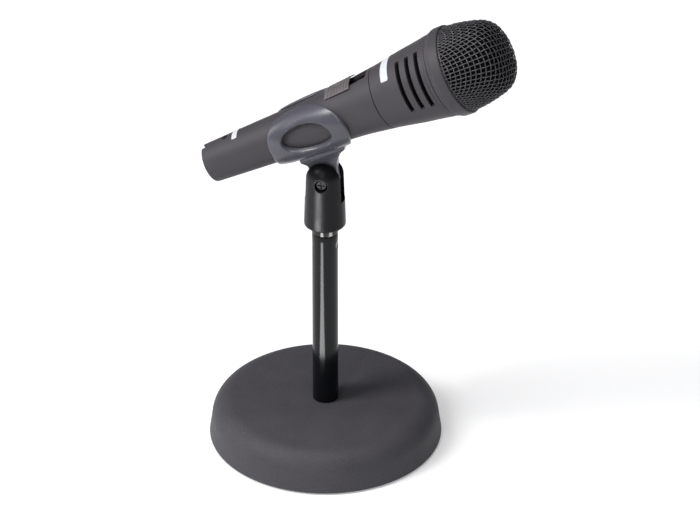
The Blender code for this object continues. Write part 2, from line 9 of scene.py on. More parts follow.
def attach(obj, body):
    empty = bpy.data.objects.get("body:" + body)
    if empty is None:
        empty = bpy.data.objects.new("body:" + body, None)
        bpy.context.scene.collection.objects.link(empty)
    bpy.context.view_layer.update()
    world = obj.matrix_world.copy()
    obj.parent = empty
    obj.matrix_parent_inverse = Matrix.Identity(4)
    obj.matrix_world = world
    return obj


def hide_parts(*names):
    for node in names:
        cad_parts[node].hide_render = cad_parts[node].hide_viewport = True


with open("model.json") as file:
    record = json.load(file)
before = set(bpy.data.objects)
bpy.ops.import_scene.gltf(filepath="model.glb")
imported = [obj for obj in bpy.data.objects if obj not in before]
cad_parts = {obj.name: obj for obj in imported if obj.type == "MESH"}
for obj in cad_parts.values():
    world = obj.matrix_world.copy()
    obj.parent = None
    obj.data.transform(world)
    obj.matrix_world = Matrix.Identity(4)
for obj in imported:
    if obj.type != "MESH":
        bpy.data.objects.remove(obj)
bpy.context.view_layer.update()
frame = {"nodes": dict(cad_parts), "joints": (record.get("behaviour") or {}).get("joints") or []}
JOINTS = {joint["name"]: joint for joint in frame["joints"]}

# Lengths are in millimetres, and MM turns them into metres.  s is a place along the
# microphone's axis, with s = 0 above the clip's pivot, and phi is an angle round that
# axis, in degrees, from the side that faces -Y towards the top.
MM = 0.001
GAP = 0.3
QUARTER = math.radians(90.0)

# ---- sides of a turned piece, from the largest pieces to the smallest
LARGE_ROUND = 256
BODY_ROUND = 200
ROUND = 160
INSERT_ROUND = 128
SMALL_ROUND = 64
PIN_ROUND = 48

# ---- places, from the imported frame
PIVOT = Vector(JOINTS["clip_tilt"]["pos_m"]) / MM
AHEAD = Vector(JOINTS["mic_slide"]["axis"]).normalized()
NEAR = Vector((0.0, -1.0, 0.0))
UP = NEAR.cross(AHEAD)
TILT = math.asin(AHEAD.z)
FACING = Matrix((UP, NEAR, AHEAD)).transposed().to_4x4()
AXIS_OFFSET = 32.9
WORLD = Matrix.Identity(4)
CLIP = Matrix.Translation(PIVOT) @ FACING
MIC = CLIP @ Matrix.Translation((AXIS_OFFSET, 0.0, 0.0))
BOLT = Matrix.Translation(PIVOT) @ Matrix.Rotation(QUARTER, 4, "X")

# ---- camera and lights, in metres
CAMERA_TURN = math.radians(12.4)
CAMERA_RISE = math.radians(31.2)
CAMERA_DISTANCE = 2.626
CAMERA_LENS = 236.6
CAMERA_TARGET_RIGHT = 0.0142
CAMERA_TARGET_UP = 0.1147
LIGHT_AIM = Vector((0.0, 0.0, 0.13))
CARD_LIFT = 0.002
FLOOR_HALF = 6.0
FLOOR_GLOW = 0.31
WORLD_COLOUR = (0.92, 0.94, 1.0, 1.0)
WORLD_STRENGTH = 0.06

# ---- stand
BASE_FOOT_R = 67.5
BASE_SIDE_R = 66.0
BASE_H = 23.8
BASE_SHOULDER = 12.2
BASE_LIFT = 0.5
BASE_EDGE = 1.6
BASE_HOLE_R = 4.4
POCKET_R = 50.0
POCKET_TOP = 13.0
PAD_R = 60.0
PAD_T = 2.0
PAD_CLEARANCE = 0.4
TUBE_R = 7.45
TUBE_WALL = 1.2
TUBE_BOTTOM = BASE_H + GAP
TUBE_TOP = 135.5
CRIMPS = (TUBE_BOTTOM + 7.5, TUBE_TOP - 7.5)
CRIMP_R = 2.7
CRIMP_DEPTH = 0.6

# ---- holder
ADAPTER_BOTTOM = TUBE_TOP + GAP
ADAPTER_R = 7.7
ADAPTER_BORE = 4.9
ADAPTER_TOP = 151.5
HOLDER_BOTTOM = 141.0
HOLDER_BOTTOM_R = 12.0
HOLDER_TOP_R = 11.0
DOME_Z = 172.1
SOCKET_R = 9.9
SOCKET_TOP = 153.4
SLOT_HALF = 4.4
SLOT_FLOOR = 158.0
SCREW_R = 2.0
SCREW_HEAD_R = 3.2
COUNTERBORE_R = 3.7
COUNTERBORE_FLOOR = 7.2
BOLT_CLEARANCE = 0.35
NUT_ACROSS = 7.0

# ---- clip
JAW_MID_PHI = -8.0
JAW_TOP_PHI = 74.0
JAW_HALF = 25.2
JAW_CENTRE = 10.5
WINDOW_CENTRE = (10.3, 0.5)
WINDOW_HALF = (15.2, 8.5)
WINDOW_TILT = math.radians(-7.0)
BORE_GAP = 0.35
JAW_RIM = 1.6
JAW_CREST = 3.2
JAW_LIP = 0.5
JAW_ROUND = 0.9
ARC_PER_DEGREE = math.radians(17.0)
TONGUE_R = 8.6
TONGUE_HALF = 3.3

# ---- microphone
HANDLE_LINE = [(-56.3, 11.3), (-48.0, 11.65), (-40.0, 12.05), (-20.0, 12.95),
               (0.0, 13.8), (15.0, 14.7), (28.0, 15.55), (40.0, 16.35),
               (52.0, 17.75), (60.0, 18.75), (68.0, 20.05), (76.0, 21.4),
               (84.0, 22.45), (92.0, 23.65), (96.0, 24.25)]
TAIL_S = -57.0
PART_S = 57.5
COLLAR_S = 96.0
GRILLE_S = 105.0
GRILLE_LINE = [(105.2, 24.9), (112.0, 24.4), (118.0, 23.4), (124.0, 22.0),
               (128.0, 20.6), (131.0, 18.5), (133.0, 15.8), (134.6, 11.6),
               (135.6, 6.0)]
GRILLE_TIP = 136.0
SHELL_T = 2.2
XLR_R = 9.6
XLR_FACE = -45.5
SET_SCREW_S = -41.5
VENTS = (77.4, 83.9, 90.3)
VENT_WIDTH = 2.7
VENT_PHI = (-17.0, 69.0)
SLIDER_S = (27.4, 44.2)
SLIDER_PHI = (62.0, 118.0)
SLIDER_RIBS = 7
SLIDER_HEIGHT = 1.1
RIB_DEPTH = 0.4
SWITCH_SLOT = (28.5, 54.8)
SWITCH_SLOT_HALF = 5.2
PIN_CIRCLE_R = 5.2
LABEL_TOP = 0.16
LABEL_UNDERSIDE = 0.03
FOAM_S = 106.3
FOAM_SKIN = 1.25
FOAM_HOLLOW = 4.2
MESH_PITCH = 3.0
MESH_TURN = 22.0
MESH_STRETCH = 0.06
MESH_PULL = 0.28
MESH_PULL_LENGTH = 45.0
WIRE_R = 0.3
WIRE_STEPS = 5


# ================================================================ shape helpers

def moved(mesh_bm, matrix):
    """Move a bmesh by a matrix, and hand it back."""
    bmesh.ops.transform(mesh_bm, matrix=matrix, verts=mesh_bm.verts)
    return mesh_bm


def add_object(name, data):
    """A new object in the scene, made of a mesh, a light or a camera."""
    item = bpy.data.objects.new(name, data)
    bpy.context.scene.collection.objects.link(item)
    return item


def finish_piece(name, mesh_bm, place, body, slot, finish, stands_for=(), sharp=35.0, look=None):
    """Put a bmesh, in millimetres, into the scene as a piece that rides on a body.

    Its material is the finish of its slot, or the one that look names.
    """
    moved(mesh_bm, place)
    bmesh.ops.recalc_face_normals(mesh_bm, faces=mesh_bm.faces)
    bmesh.ops.scale(mesh_bm, vec=(MM, MM, MM), verts=mesh_bm.verts)
    mesh = bpy.data.meshes.new(name)
    mesh_bm.to_mesh(mesh)
    mesh_bm.free()
    mesh.shade_smooth()
    mesh.set_sharp_from_angle(angle=math.radians(sharp))
    mesh.materials.append(finish[look or slot])
    item = add_object(name, mesh)
    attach(item, body)
    if stands_for:
        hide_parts(*stands_for)
    return item


def scratch_object(mesh_bm):
    """A passing object made of a bmesh, which is used up."""
    mesh = bpy.data.meshes.new("scratch")
    mesh_bm.to_mesh(mesh)
    mesh_bm.free()
    return add_object("scratch", mesh)


def discard(item):
    mesh = item.data
    bpy.data.objects.remove(item)
    bpy.data.meshes.remove(mesh)


def combined(target, tool, operation):
    """The Boolean of two bmeshes, as a new bmesh; both are used up."""
    items = []
    for part in (target, tool):
        bmesh.ops.recalc_face_normals(part, faces=part.faces)
        items.append(scratch_object(part))
    modifier = items[0].modifiers.new("cut", "BOOLEAN")
    modifier.operation = operation
    modifier.solver = "EXACT"
    modifier.object = items[1]
    result = evaluated(items[0])
    for item in items:
        discard(item)
    return result


def evaluated(item):
    """A bmesh of an object with its modifiers applied."""
    bpy.context.view_layer.update()
    shape = item.evaluated_get(bpy.context.evaluated_depsgraph_get()).to_mesh()
    result = bmesh.new()
    result.from_mesh(shape)
    return result


def softened(mesh_bm, voxel, passes):
    """Remesh a bmesh evenly and smooth it, so that its moulded edges are rounded."""
    item = scratch_object(mesh_bm)
    remesh = item.modifiers.new("even", "REMESH")
    remesh.mode = "VOXEL"
    remesh.voxel_size = voxel
    smooth = item.modifiers.new("smooth", "SMOOTH")
    smooth.factor = 0.5
    smooth.iterations = passes
    result = evaluated(item)
    discard(item)
    return result


def add_bevel(item, width, angle=40.0, segments=3):
    bevel = item.modifiers.new("soft_edges", "BEVEL")
    bevel.width = width * MM
    bevel.segments = segments
    bevel.limit_method = "ANGLE"
    bevel.angle_limit = math.radians(angle)
    bevel.miter_outer = "MITER_ARC"


def rounded(points, steps=4):
    """A closed outline whose corners are rounded; each point is (x, y, radius)."""
    outline = []
    for i, (x, y, radius) in enumerate(points):
        here = Vector((x, y))
        if radius == 0.0:
            outline.append((x, y))
            continue
        before = Vector(points[i - 1][:2]) - here
        after = Vector(points[(i + 1) % len(points)][:2]) - here
        cut = radius / math.tan(before.angle(after) / 2.0)
        cut = min(cut, 0.48 * before.length, 0.48 * after.length)
        start = here + before.normalized() * cut
        end = here + after.normalized() * cut
        for k in range(steps + 1):
            t = k / steps
            point = start * (1.0 - t) ** 2 + here * (2.0 * t * (1.0 - t)) + end * t * t
            outline.append((point.x, point.y))
    return outline


def arc(centre_r, centre_z, radius, start, end, steps):
    """Points (r, z) along an arc, with angles in degrees from the +r direction."""
    points = []
    for i in range(steps + 1):
        angle = math.radians(start + (end - start) * i / steps)
        points.append((centre_r + radius * math.cos(angle), centre_z + radius * math.sin(angle)))
    return points


def lathe(profile, segments=ROUND, radius_rule=None):
    """Spin a closed profile of (r, z) points about Z; points at r = 0 become poles."""
    mesh_bm = bmesh.new()
    rings = []
    for radius, height in profile:
        if radius == 0.0:
            rings.append([mesh_bm.verts.new((0.0, 0.0, height))])
            continue
        ring = []
        for i in range(segments):
            angle = 2.0 * math.pi * i / segments
            r = radius_rule(radius, height, angle) if radius_rule else radius
            ring.append(mesh_bm.verts.new((r * math.cos(angle), r * math.sin(angle), height)))
        rings.append(ring)
    for lower, upper in zip(rings, rings[1:] + rings[:1]):
        for i in range(segments):
            j = (i + 1) % segments
            corners = [lower[i % len(lower)], lower[j % len(lower)],
                       upper[j % len(upper)], upper[i % len(upper)]]
            face = list(dict.fromkeys(corners))
            if len(face) > 2:
                mesh_bm.faces.new(face)
    return mesh_bm


def hexagon(corner_radius):
    """A radius rule that turns the rings at corner_radius into a hexagon."""
    def rule(radius, _height, angle):
        if abs(radius - corner_radius) > 0.01:
            return radius
        turned = angle % (math.pi / 3.0) - math.pi / 6.0
        return corner_radius * math.cos(math.pi / 6.0) / math.cos(turned)
    return rule


def loft(loops):
    """Join loops of points, all of one length, into a closed body with flat ends."""
    mesh_bm = bmesh.new()
    rings = [[mesh_bm.verts.new(point) for point in loop] for loop in loops]
    count = len(rings[0])
    for here, there in zip(rings, rings[1:]):
        for i in range(count):
            j = (i + 1) % count
            mesh_bm.faces.new((here[i], here[j], there[j], there[i]))
    mesh_bm.faces.new(rings[0])
    mesh_bm.faces.new(rings[-1])
    return mesh_bm


def block(low, high, radius=0.0):
    """A box whose four upright edges are rounded."""
    outline = rounded([(low[0], low[1], radius), (high[0], low[1], radius),
                       (high[0], high[1], radius), (low[0], high[1], radius)])
    return loft([[(x, y, z) for x, y in outline] for z in (low[2], high[2])])


def around(radius, phi, s):
    """A point at an angle round the microphone's axis, in its own frame."""
    angle = math.radians(phi)
    return (radius * math.sin(angle), radius * math.cos(angle), s)


def steps_between(start, end, count):
    return [start + (end - start) * i / count for i in range(count + 1)]


def joined(parts):
    """Put several bmeshes into one and free the originals."""
    result = bmesh.new()
    for part in parts:
        scratch = bpy.data.meshes.new("join_scratch")
        part.to_mesh(scratch)
        part.free()
        result.from_mesh(scratch)
        bpy.data.meshes.remove(scratch)
    return result


def curve_at(line, s):
    """A smooth curve through the (s, r) points of a line, read at s."""
    last = len(line) - 1
    k = 0
    while k < last - 1 and s > line[k + 1][0]:
        k += 1
    (s0, r0), (s1, r1) = line[k], line[k + 1]
    before = line[max(k - 1, 0)]
    after = line[min(k + 2, last)]
    t = min(max((s - s0) / (s1 - s0), 0.0), 1.0)
    slope_0 = (r1 - before[1]) / (s1 - before[0]) * (s1 - s0)
    slope_1 = (after[1] - r0) / (after[0] - s0) * (s1 - s0)
    return ((2 * t ** 3 - 3 * t ** 2 + 1) * r0 + (t ** 3 - 2 * t ** 2 + t) * slope_0
            + (3 * t ** 2 - 2 * t ** 3) * r1 + (t ** 3 - t ** 2) * slope_1)


def body_radius(s):
    """Outer radius of the microphone's handle and head housing."""
    return curve_at(HANDLE_LINE, s)


# ================================================================ materials

def procedural(name, colour, roughness, metallic=0.0, mottle=0.12, mottle_mm=6.0,
               grain_mm=0.4, grain=0.15, rough_spread=0.06, specular=0.5):
    """A finish with mottled colour, uneven gloss and a fine grain, sized in millimetres."""
    material = bpy.data.materials.new(name)
    material.use_nodes = True
    nodes = material.node_tree.nodes
    links = material.node_tree.links
    shader = nodes["Principled BSDF"]
    shader.inputs["Metallic"].default_value = metallic
    shader.inputs["Specular IOR Level"].default_value = specular
    place = nodes.new("ShaderNodeTexCoord")

    blotches = nodes.new("ShaderNodeTexNoise")
    blotches.inputs["Scale"].default_value = 1.0 / (mottle_mm * MM)
    blotches.inputs["Detail"].default_value = 4.0
    links.new(place.outputs["Object"], blotches.inputs["Vector"])
    tones = nodes.new("ShaderNodeValToRGB")
    tones.color_ramp.elements[0].position = 0.3
    tones.color_ramp.elements[0].color = [*(c * (1.0 - mottle) for c in colour), 1.0]
    tones.color_ramp.elements[1].position = 0.7
    tones.color_ramp.elements[1].color = [*(min(c * (1.0 + mottle), 1.0) for c in colour), 1.0]
    links.new(blotches.outputs["Fac"], tones.inputs["Fac"])
    links.new(tones.outputs["Color"], shader.inputs["Base Color"])

    gloss = nodes.new("ShaderNodeMapRange")
    gloss.inputs["From Min"].default_value = 0.3
    gloss.inputs["From Max"].default_value = 0.7
    gloss.inputs["To Min"].default_value = roughness - rough_spread
    gloss.inputs["To Max"].default_value = roughness + rough_spread
    links.new(blotches.outputs["Fac"], gloss.inputs["Value"])
    links.new(gloss.outputs["Result"], shader.inputs["Roughness"])

    fine = nodes.new("ShaderNodeTexNoise")
    fine.inputs["Scale"].default_value = 1.0 / (grain_mm * MM)
    fine.inputs["Detail"].default_value = 3.0
    links.new(place.outputs["Object"], fine.inputs["Vector"])
    bump = nodes.new("ShaderNodeBump")
    bump.inputs["Strength"].default_value = grain
    bump.inputs["Distance"].default_value = grain_mm * MM * 0.5
    links.new(fine.outputs["Fac"], bump.inputs["Height"])
    links.new(bump.outputs["Normal"], shader.inputs["Normal"])
    return material


def speckled(material, tint, amount, size_mm):
    """Sprinkle small lighter grains over a finish, as powder coating shows."""
    nodes = material.node_tree.nodes
    links = material.node_tree.links
    shader = nodes["Principled BSDF"]
    below = shader.inputs["Base Color"].links[0].from_socket
    place = nodes.new("ShaderNodeTexCoord")
    grains = nodes.new("ShaderNodeTexVoronoi")
    grains.inputs["Scale"].default_value = 1.0 / (size_mm * MM)
    links.new(place.outputs["Object"], grains.inputs["Vector"])
    dots = nodes.new("ShaderNodeMapRange")
    dots.inputs["From Min"].default_value = 0.05
    dots.inputs["From Max"].default_value = 0.45
    dots.inputs["To Min"].default_value = amount
    dots.inputs["To Max"].default_value = 0.0
    links.new(grains.outputs["Distance"], dots.inputs["Value"])
    mix = nodes.new("ShaderNodeMix")
    mix.data_type = "RGBA"
    mix.inputs["B"].default_value = (*tint, 1.0)
    links.new(dots.outputs["Result"], mix.inputs["Factor"])
    links.new(below, mix.inputs["A"])
    links.new(mix.outputs["Result"], shader.inputs["Base Color"])
    return material


def make_finishes():
    """Every finish of the object, by the name of its material slot."""
    base = procedural("powder_coat", (0.058, 0.055, 0.063), 0.62, mottle=0.07, mottle_mm=18.0,
                      grain_mm=0.9, grain=0.55, rough_spread=0.05, specular=0.25)
    coating = procedural("soft_touch_coating", (0.052, 0.047, 0.054), 0.54, mottle=0.05,
                         mottle_mm=9.0, grain_mm=0.25, grain=0.25, rough_spread=0.04,
                         specular=0.35)
    return {
        "base_coat": speckled(base, (0.13, 0.126, 0.14), 0.28, 0.9),
        "pad_rubber": procedural("pad_rubber", (0.018, 0.018, 0.019), 0.85, grain_mm=0.8,
                                 grain=0.4),
        "zinc_fixings": procedural("zinc", (0.6, 0.61, 0.6), 0.35, 1.0, mottle_mm=2.0),
        "tube_black": procedural("gloss_black", (0.004, 0.0045, 0.006), 0.14, mottle=0.2,
                                 grain_mm=1.6, grain=0.02, rough_spread=0.02, specular=0.22),
        "turned_steel": procedural("turned_steel", (0.55, 0.55, 0.56), 0.3, 1.0, mottle_mm=1.5),
        "nickel_plate": procedural("nickel", (0.04, 0.04, 0.039), 0.13, 1.0, mottle=0.08,
                                   mottle_mm=2.0, grain_mm=0.5, grain=0.08),
        "holder_plastic": procedural("satin_black_plastic", (0.007, 0.007, 0.009), 0.36,
                                     mottle=0.12, mottle_mm=7.0, grain_mm=0.3, grain=0.15,
                                     rough_spread=0.04, specular=0.16),
        "insert_brass": procedural("brass", (0.6, 0.42, 0.16), 0.3, 1.0, mottle_mm=2.0),
        "pivot_steel": procedural("bright_zinc", (0.09, 0.09, 0.09), 0.42, 1.0, mottle=0.06,
                                  mottle_mm=1.2, grain_mm=0.3, grain=0.1),
        "friction_fibre": procedural("red_fibre", (0.2, 0.03, 0.02), 0.8, grain=0.4),
        "clip_plastic": procedural("grey_clip_plastic", (0.072, 0.071, 0.09), 0.28, mottle=0.05,
                                   mottle_mm=10.0, grain_mm=0.5, grain=0.05, rough_spread=0.03),
        "mic_coating": coating,
        "grille_wire": procedural("painted_wire", (0.072, 0.069, 0.075), 0.32, mottle=0.3,
                                  mottle_mm=1.2, grain_mm=0.2, grain=0.2, rough_spread=0.06,
                                  specular=0.35),
        "foam": procedural("black_foam", (0.004, 0.0038, 0.004), 0.95, mottle=0.4, mottle_mm=1.0,
                           grain_mm=0.9, grain=1.0, rough_spread=0.03, specular=0.05),
        "acoustic_cloth": procedural("black_cloth", (0.003, 0.003, 0.003), 0.95, mottle=0.3,
                                     mottle_mm=0.6, grain_mm=0.3, grain=0.6, rough_spread=0.03,
                                     specular=0.05),
        "capsule_metal": procedural("capsule_metal", (0.35, 0.34, 0.33), 0.4, 1.0),
        "mount_rubber": procedural("mount_rubber", (0.02, 0.02, 0.02), 0.8, grain=0.3),
        "connector_plastic": procedural("connector_plastic", (0.02, 0.02, 0.021), 0.5, grain=0.1),
        "pin_silver": procedural("silver_pins", (0.85, 0.84, 0.8), 0.18, 1.0, mottle=0.05,
                                 mottle_mm=1.0),
        "screw_black": procedural("blackened_screw", (0.02, 0.02, 0.02), 0.35, 0.6, mottle_mm=1.0),
        "switch_plastic": procedural("switch_recess", (0.05, 0.047, 0.05), 0.6, grain=0.15),
        "slider_plastic": procedural("slider_plastic", (0.12, 0.105, 0.11), 0.5, mottle=0.06,
                                     mottle_mm=3.0, grain_mm=0.25, grain=0.2),
        "label": procedural("white_label", (0.6, 0.61, 0.66), 0.5, mottle=0.03, mottle_mm=2.0,
                            grain_mm=0.3, grain=0.05),
    }


# ================================================================ stand

def build_stand(finish):
    """The weighted base, its pad and the upright tube; hands the tube back."""
    profile = [(BASE_HOLE_R, BASE_H - 0.5), (BASE_HOLE_R + 0.5, BASE_H)]
    profile += arc(BASE_SIDE_R - BASE_SHOULDER, BASE_H - BASE_SHOULDER, BASE_SHOULDER, 90, 4, 40)
    profile += arc(BASE_FOOT_R - BASE_EDGE, BASE_LIFT + BASE_EDGE, BASE_EDGE, 0, -90, 10)
    recess = PAD_R + PAD_CLEARANCE
    profile += [(recess, BASE_LIFT), (recess, PAD_T + GAP), (POCKET_R, PAD_T + GAP),
                (POCKET_R - 2.0, POCKET_TOP), (BASE_HOLE_R, POCKET_TOP)]
    finish_piece("weighted_base", lathe(profile, LARGE_ROUND), WORLD, "stand", "base_coat",
                 finish, ["base_casting"])

    pad = rounded([(0.0, 0.0, 0.0), (PAD_R, 0.0, 0.8), (PAD_R, PAD_T, 0.3), (0.0, PAD_T, 0.0)])
    finish_piece("rubber_pad", lathe(pad, BODY_ROUND), WORLD, "stand", "pad_rubber", finish,
                 ["base_pad"])

    inner = TUBE_R - TUBE_WALL
    wall = [(inner, TUBE_BOTTOM), (TUBE_R, TUBE_BOTTOM)]
    levels = {TUBE_BOTTOM + 0.3, TUBE_TOP - 0.5}
    for middle in CRIMPS:
        levels.update(middle + CRIMP_R * step / 12.0 for step in range(-14, 15))
    levels.update(steps_between(TUBE_BOTTOM + 12.0, TUBE_TOP - 14.0, 12))
    wall += [(TUBE_R, level) for level in sorted(levels)]
    wall += [(TUBE_R - 0.15, TUBE_TOP - 0.15), (TUBE_R - 0.5, TUBE_TOP), (inner, TUBE_TOP)]

    def crimped(radius, height, angle):
        """Two round dents on either side of the tube, near each end."""
        if radius < TUBE_R - 0.01:
            return radius
        across = TUBE_R * math.sin(angle)
        for middle in CRIMPS:
            away = math.hypot(across, height - middle) / CRIMP_R
            if away < 1.0:
                return radius - CRIMP_DEPTH * (1.0 - away * away) ** 0.7
        return radius

    return finish_piece("upright_tube", lathe(wall, LARGE_ROUND, crimped), WORLD, "stand",
                        "tube_black", finish, ["tube"], sharp=40.0)


# ================================================================ holder

def build_adapter(finish):
    """The plated sleeve that shows between tube and holder, flush with the tube."""
    profile = rounded([(ADAPTER_BORE, ADAPTER_BOTTOM, 0.3), (ADAPTER_R, ADAPTER_BOTTOM, 0.45),
                       (ADAPTER_R, ADAPTER_TOP, 0.5), (ADAPTER_BORE, ADAPTER_TOP, 0.3)], 5)
    return finish_piece("thread_sleeve", lathe(profile), WORLD, "holder", "nickel_plate",
                        finish, ["thread_adapter"], sharp=30.0)


def build_holder(finish):
    """The forked holder and its pivot screw; hands the holder back."""
    profile = rounded([(SOCKET_R, HOLDER_BOTTOM, 0.4), (HOLDER_BOTTOM_R, HOLDER_BOTTOM, 0.9),
                       (HOLDER_TOP_R, DOME_Z, 0.0)])
    profile += arc(0.0, DOME_Z, HOLDER_TOP_R, 2, 88, 24)
    profile += [(0.0, DOME_Z + HOLDER_TOP_R), (0.0, SOCKET_TOP), (SOCKET_R, SOCKET_TOP)]
    body = lathe(profile)
    slot = block((-15.0, -SLOT_HALF, SLOT_FLOOR), (15.0, SLOT_HALF, 190.0))
    body = combined(body, slot, "DIFFERENCE")
    pocket_r = (NUT_ACROSS + 2.0 * GAP) / math.sqrt(3.0)
    bolt_r = SCREW_R + BOLT_CLEARANCE
    stepped = [(0.0, -13.0), (pocket_r, -13.0), (pocket_r, -COUNTERBORE_FLOOR),
               (bolt_r, -COUNTERBORE_FLOOR), (bolt_r, COUNTERBORE_FLOOR),
               (COUNTERBORE_R, COUNTERBORE_FLOOR), (COUNTERBORE_R, 13.0), (0.0, 13.0)]
    way = moved(lathe(stepped, SMALL_ROUND, hexagon(pocket_r)), BOLT)
    body = combined(body, way, "DIFFERENCE")
    holder = finish_piece("clip_holder", softened(body, 0.24, 5), WORLD, "holder",
                          "holder_plastic", finish, ["holder_body"], sharp=60.0)

    head = COUNTERBORE_FLOOR + GAP
    profile = [(0.0, -9.8), (SCREW_R - 0.3, -9.8), (SCREW_R, -9.5), (SCREW_R, head),
               (SCREW_HEAD_R, head), (SCREW_HEAD_R, head + 1.1)]
    profile += arc(SCREW_HEAD_R - 0.8, head + 1.1, 0.8, 15, 90, 5)
    profile += [(0.0, head + 2.0)]
    screw = lathe(profile, SMALL_ROUND)
    for half in ((2.1, 0.42), (0.42, 2.1)):
        blade = block((-half[0], -half[1], head + 0.7), (half[0], half[1], head + 4.0))
        screw = combined(screw, blade, "DIFFERENCE")
    finish_piece("pivot_screw_head", screw, BOLT, "holder", "pivot_steel", finish, ["pivot_screw"])
    return holder


# ================================================================ clip

def jaw_limits(phi):
    """Middle and half length of the jaw at an angle phi round the microphone."""
    if phi > JAW_MID_PHI:
        rise = (phi - JAW_MID_PHI) / (JAW_TOP_PHI - JAW_MID_PHI)
        half = JAW_HALF * math.sqrt(max(0.0, 1.0 - rise * rise))
        return JAW_CENTRE - 4.0 * rise * rise, half
    fall = (JAW_MID_PHI - phi) / (90.0 + JAW_MID_PHI)
    return JAW_CENTRE - 7.2 * fall ** 1.2, JAW_HALF - 4.4 * fall ** 1.5


def jaw_edge(start, direction):
    """How far a ray goes from the window's middle to the edge of the jaw."""
    near, far = 0.0, 60.0
    for _ in range(40):
        reach = (near + far) / 2.0
        s = start[0] + direction[0] * reach
        phi = start[1] + direction[1] * reach / ARC_PER_DEGREE
        middle, half = jaw_limits(max(phi, -90.0))
        inside = -90.0 <= phi <= JAW_TOP_PHI and abs(s - middle) <= half
        near, far = (reach, far) if inside else (near, reach)
    return near


def edge_distance(s, phi):
    """About how far a point of the jaw is from its free outer edge."""
    middle, half = jaw_limits(phi)
    if phi <= JAW_MID_PHI:
        return half - abs(s - middle)
    span = (JAW_TOP_PHI - JAW_MID_PHI) * ARC_PER_DEGREE
    rise = (phi - JAW_MID_PHI) / (JAW_TOP_PHI - JAW_MID_PHI)
    along = (s - middle) / JAW_HALF
    inside = 1.0 - along * along - rise * rise
    slope = 2.0 * math.hypot(along / JAW_HALF, rise / span)
    return inside / max(slope, 1e-3)


def round_over(distance, radius):
    """The share of its height that a rounded edge has at a distance from the edge."""
    t = min(max(distance / radius, 0.0), 1.0)
    return math.sqrt(1.0 - (1.0 - t) ** 2)


def jaw_thickness(t, angle):
    """Wall of the jaw from its window, t = 0, to its outer edge, t = 1, along a ray."""
    upward = max(0.0, math.sin(angle))
    edge = JAW_RIM + 0.4 * math.cos(angle) - 0.8 * upward
    crest = JAW_CREST - 0.7 * upward
    return edge + (crest - edge) * (1.0 - t ** 1.9)


def jaw_half(rays, shares):
    """The near half of the clip's sleeve: a crowned ring round its oval window."""
    mesh_bm = bmesh.new()
    outer, inner, bottom = [], [], []
    for i in range(rays):
        angle = 2.0 * math.pi * i / rays
        direction = (math.cos(angle), math.sin(angle))
        turned = angle - WINDOW_TILT
        window = 1.0 / math.hypot(math.cos(turned) / WINDOW_HALF[0],
                                  math.sin(turned) / WINDOW_HALF[1])
        edge = jaw_edge(WINDOW_CENTRE, direction)
        outer_ring, inner_ring = [], []
        for t in shares:
            reach = window + (edge - window) * t
            s = WINDOW_CENTRE[0] + direction[0] * reach
            phi = max(WINDOW_CENTRE[1] + direction[1] * reach / ARC_PER_DEGREE, -90.0)
            thickness = jaw_thickness(t, angle)
            share = min(round_over(edge_distance(s, phi), JAW_ROUND),
                        round_over((edge - window) * t, JAW_ROUND))
            thickness = JAW_LIP + (thickness - JAW_LIP) * share
            for ring, add in ((outer_ring, thickness), (inner_ring, 0.0)):
                radius = body_radius(s) + BORE_GAP + add
                point = around(radius, phi, s)
                across = point[1] if phi > -89.9 else 0.0
                ring.append(mesh_bm.verts.new((point[0], across, s)))
        bottom.append(phi < -89.9)
        outer.append(outer_ring)
        inner.append(inner_ring)
    last = len(shares) - 1
    for i in range(rays):
        j = (i + 1) % rays
        for k in range(last):
            mesh_bm.faces.new((outer[i][k], outer[j][k], outer[j][k + 1], outer[i][k + 1]))
            mesh_bm.faces.new((inner[i][k + 1], inner[j][k + 1], inner[j][k], inner[i][k]))
        mesh_bm.faces.new((outer[j][0], outer[i][0], inner[i][0], inner[j][0]))
        if not (bottom[i] and bottom[j]):
            mesh_bm.faces.new((outer[i][-1], outer[j][-1], inner[j][-1], inner[i][-1]))
    return mesh_bm


def tongue():
    """The plate that joins the sleeve to the pivot, flared where it meets the sleeve.

    Rows are left and right ends, measured level and upright from the pivot while the
    microphone has its resting tilt, and the half thickness of the plate there.
    """
    rows = []
    for i in range(15):
        angle = math.radians(-84.0 + 84.0 * i / 14)
        side = TONGUE_R * math.cos(angle)
        rows.append((-side, TONGUE_R * math.sin(angle), side, TONGUE_R * math.sin(angle),
                     TONGUE_HALF))
    rows += [(-8.6, 2.0, 7.6, 7.0, TONGUE_HALF), (-8.6, 5.5, 7.6, 13.0, TONGUE_HALF),
             (-9.0, 7.8, 9.0, 17.2, 3.9), (-9.9, 9.2, 10.3, 19.8, 5.0),
             (-11.0, 10.4, 11.6, 21.8, 6.4), (-12.4, 11.8, 12.9, 23.6, 7.8),
             (-13.0, 14.0, 12.6, 26.0, 8.2)]
    loops = []
    for left_x, left_z, right_x, right_z, half in rows:
        width = math.hypot(right_x - left_x, right_z - left_z)
        corner = min(1.0, 0.3 * width)
        flat = rounded([(0.0, half, corner), (width, half, corner),
                        (width, -half, corner), (0.0, -half, corner)])
        loop = []
        for along, across in flat:
            t = along / width
            level = left_x + (right_x - left_x) * t
            upright = left_z + (right_z - left_z) * t
            s = level * math.cos(TILT) + upright * math.sin(TILT)
            rise = -level * math.sin(TILT) + upright * math.cos(TILT)
            loop.append((rise, across, s))
        loops.append(loop)
    return loft(loops)


